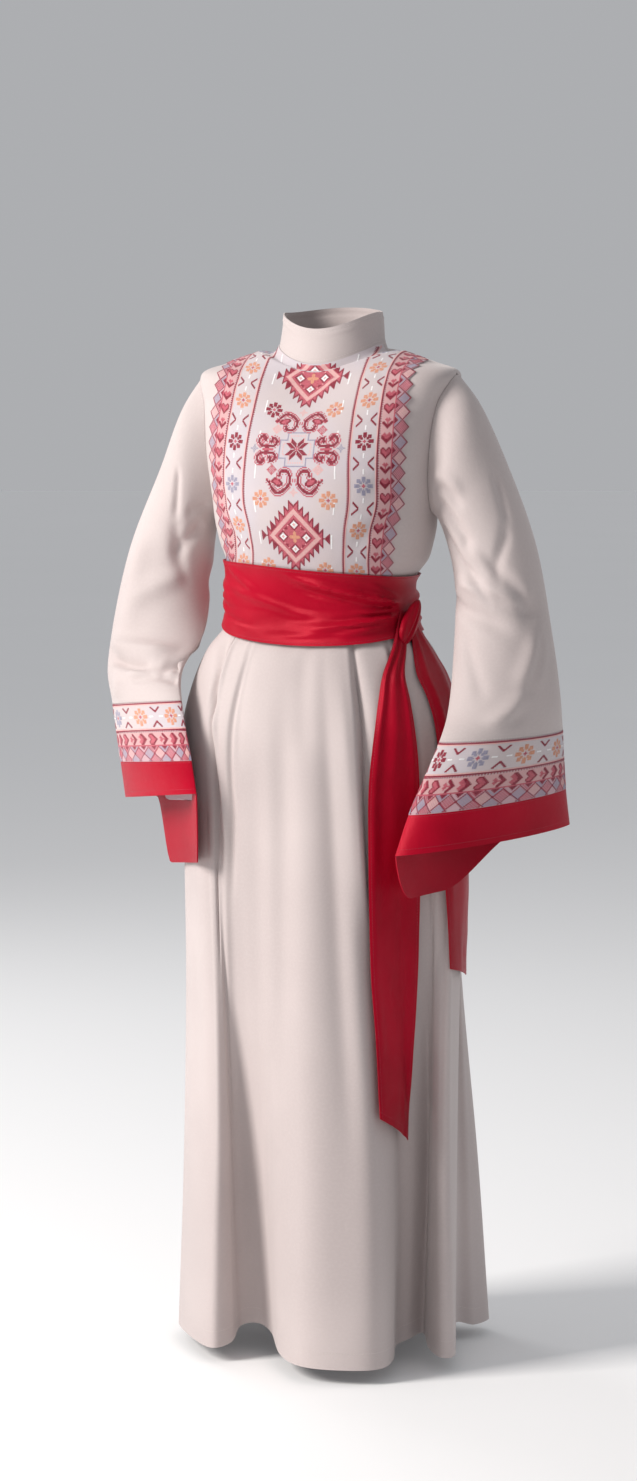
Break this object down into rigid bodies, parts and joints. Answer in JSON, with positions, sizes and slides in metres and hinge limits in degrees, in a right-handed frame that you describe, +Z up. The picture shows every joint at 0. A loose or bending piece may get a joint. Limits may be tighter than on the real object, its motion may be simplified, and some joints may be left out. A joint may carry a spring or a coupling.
{
  "type": "embroidered dress",
  "caption": "Ankle-length dress, hollow as it is worn, with a stand collar, an embroidered chest panel, bell sleeves with embroidered trims and satin cuffs, and a tied satin sash.",
  "frame": {"origin": "between the shoulders, at the height where the collar meets the shoulders, 1.386 m above the floor the wearer stands on", "axes": "+Z up, the front faces -Y, +X to the wearer's left"},
  "size_m": [0.6674, 0.4283, 1.4382],
  "materials": {
    "crepe": "matt crepe with a fine uneven grain",
    "embroidered_cloth": "even-weave ground covered in cross-stitch",
    "satin": "deep red satin with a soft sheen"
  },
  "bodies": {
    "root": {"bodice_front": "crepe", "bodice_back": "crepe", "chest_panel": "embroidered_cloth", "collar": "crepe", "sleeve_left": "crepe", "sleeve_right": "crepe", "sleeve_trim_left": "embroidered_cloth", "sleeve_trim_right": "embroidered_cloth", "cuff_left": "satin", "cuff_right": "satin", "skirt_front": "crepe", "skirt_back": "crepe", "sash_wrap": "satin", "sash_knot": "satin", "sash_tail_front": "satin", "sash_tail_back": "satin"}
  },
  "joints": []
}
